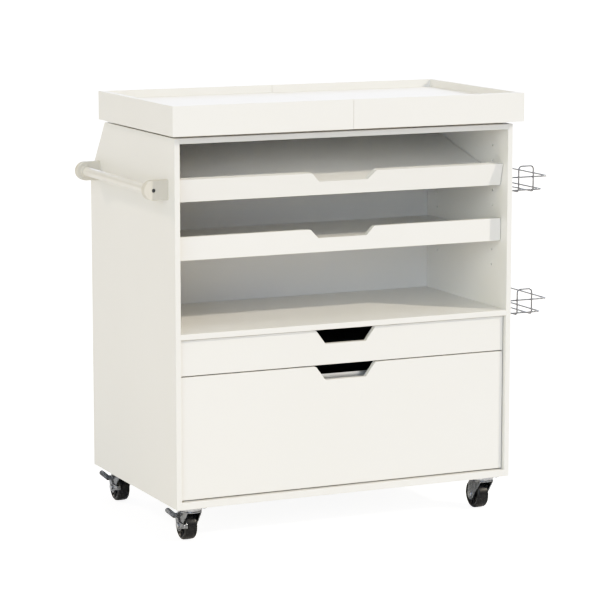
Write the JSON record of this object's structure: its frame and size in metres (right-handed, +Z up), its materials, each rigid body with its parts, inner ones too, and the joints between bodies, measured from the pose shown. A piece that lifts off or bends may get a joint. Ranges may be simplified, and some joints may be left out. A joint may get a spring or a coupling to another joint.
{
  "type": "sewing table",
  "caption": "Rolling sewing and craft table: white panel cabinet on casters with sliding tray tops, tilted and level shelves, drawers, push handle and wire side baskets.",
  "frame": {"origin": "on the floor, below the middle of the overall outline", "axes": "+X to the right seen from the drawers' side, +Y to the back, +Z up"},
  "size_m": [0.9794, 0.5296, 0.944],
  "materials": {
    "white_laminate": "satin",
    "charcoal_board": "matt",
    "pale_wood": "matt",
    "zinc_steel": "satin",
    "dark_steel": "satin",
    "aluminium": "satin",
    "white_enamel": "gloss",
    "white_plastic": "satin",
    "slide_plastic": "matt",
    "chrome_wire": "polished",
    "black_wheel": "satin"
  },
  "bodies": {
    "cabinet": {"left_side_panel": "white_laminate", "right_side_panel": "white_laminate", "bottom_panel": "white_laminate", "fixed_shelf": "white_laminate", "sub_top_panel": "white_laminate", "back_panel": "white_laminate", "rear_shelf": "white_laminate", "rear_rails": "white_laminate", "cam_fittings": "zinc_steel", "lower_shelf_board": "white_laminate", "lower_shelf_lip": "white_laminate", "upper_shelf_board": "white_laminate", "upper_shelf_lip": "white_laminate", "shelf_pegs": "zinc_steel", "handle_bar": "white_enamel", "handle_brackets": "white_plastic", "handle_screws": "dark_steel", "upper_wire_basket": "chrome_wire", "lower_wire_basket": "chrome_wire", "basket_screws": "zinc_steel", "drawer_runner_channels": "zinc_steel", "top_cleats": "pale_wood", "top_tracks": "aluminium", "caster_plates": "zinc_steel", "caster_plate_screws": "zinc_steel"},
    "left_top": {"left_top_board": "white_laminate", "left_top_front_rim": "white_laminate", "left_top_rear_rim": "white_laminate", "left_top_end_rim": "white_laminate", "left_top_runners": "slide_plastic"},
    "right_top": {"right_top_board": "white_laminate", "right_top_front_rim": "white_laminate", "right_top_rear_rim": "white_laminate", "right_top_end_rim": "white_laminate", "right_top_runners": "slide_plastic"},
    "top_drawer": {"top_drawer_front": "white_laminate", "top_drawer_sides": "charcoal_board", "top_drawer_back": "charcoal_board", "top_drawer_bottom": "charcoal_board", "top_drawer_runners": "zinc_steel"},
    "file_drawer": {"file_drawer_front": "white_laminate", "file_drawer_sides": "charcoal_board", "file_drawer_back": "charcoal_board", "file_drawer_bottom": "charcoal_board", "file_drawer_runners": "zinc_steel", "file_drawer_hanger_rails": "aluminium"},
    "swivel_front_left": {"caster_fork_front_left": "zinc_steel", "caster_axle_front_left": "zinc_steel"},
    "wheel_front_left": {"caster_wheel_front_left": "black_wheel"},
    "brake_front_left": {"brake_lever_front_left": "zinc_steel"},
    "swivel_front_right": {"caster_fork_front_right": "zinc_steel", "caster_axle_front_right": "zinc_steel"},
    "wheel_front_right": {"caster_wheel_front_right": "black_wheel"},
    "swivel_rear_left": {"caster_fork_rear_left": "zinc_steel", "caster_axle_rear_left": "zinc_steel"},
    "wheel_rear_left": {"caster_wheel_rear_left": "black_wheel"},
    "brake_rear_left": {"brake_lever_rear_left": "zinc_steel"},
    "swivel_rear_right": {"caster_fork_rear_right": "zinc_steel", "caster_axle_rear_right": "zinc_steel"},
    "wheel_rear_right": {"caster_wheel_rear_right": "black_wheel"}
  },
  "joints": [
    {"name": "left_top_slide", "type": "slide", "parent": "cabinet", "child": "left_top", "axis": [-1, 0, 0], "range_m": [0, 0.22]},
    {"name": "right_top_slide", "type": "slide", "parent": "cabinet", "child": "right_top", "axis": [1, 0, 0], "range_m": [0, 0.22]},
    {"name": "top_drawer_slide", "type": "slide", "parent": "cabinet", "child": "top_drawer", "axis": [0, -1, 0], "range_m": [0, 0.27]},
    {"name": "file_drawer_slide", "type": "slide", "parent": "cabinet", "child": "file_drawer", "axis": [0, -1, 0], "range_m": [0, 0.27]},
    {"name": "swivel_front_left_turn", "type": "hinge", "parent": "cabinet", "child": "swivel_front_left", "pos_m": [-0.38825, -0.20125, 0.07], "axis": [0, 0, 1], "continuous": true},
    {"name": "wheel_front_left_spin", "type": "hinge", "parent": "swivel_front_left", "child": "wheel_front_left", "pos_m": [-0.38825, -0.17725, 0.032], "axis": [1, 0, 0], "continuous": true},
    {"name": "brake_front_left_press", "type": "hinge", "parent": "swivel_front_left", "child": "brake_front_left", "pos_m": [-0.38825, -0.17725, 0.032], "axis": [1, 0, 0], "range_deg": [0, 20]},
    {"name": "swivel_front_right_turn", "type": "hinge", "parent": "cabinet", "child": "swivel_front_right", "pos_m": [0.32275, -0.20125, 0.07], "axis": [0, 0, 1], "continuous": true},
    {"name": "wheel_front_right_spin", "type": "hinge", "parent": "swivel_front_right", "child": "wheel_front_right", "pos_m": [0.32275, -0.17725, 0.032], "axis": [1, 0, 0], "continuous": true},
    {"name": "swivel_rear_left_turn", "type": "hinge", "parent": "cabinet", "child": "swivel_rear_left", "pos_m": [-0.38825, 0.20075, 0.07], "axis": [0, 0, 1], "continuous": true},
    {"name": "wheel_rear_left_spin", "type": "hinge", "parent": "swivel_rear_left", "child": "wheel_rear_left", "pos_m": [-0.38825, 0.22475, 0.032], "axis": [1, 0, 0], "continuous": true},
    {"name": "brake_rear_left_press", "type": "hinge", "parent": "swivel_rear_left", "child": "brake_rear_left", "pos_m": [-0.38825, 0.22475, 0.032], "axis": [1, 0, 0], "range_deg": [0, 20]},
    {"name": "swivel_rear_right_turn", "type": "hinge", "parent": "cabinet", "child": "swivel_rear_right", "pos_m": [0.32275, 0.20075, 0.07], "axis": [0, 0, 1], "continuous": true},
    {"name": "wheel_rear_right_spin", "type": "hinge", "parent": "swivel_rear_right", "child": "wheel_rear_right", "pos_m": [0.32275, 0.22475, 0.032], "axis": [1, 0, 0], "continuous": true}
  ]
}
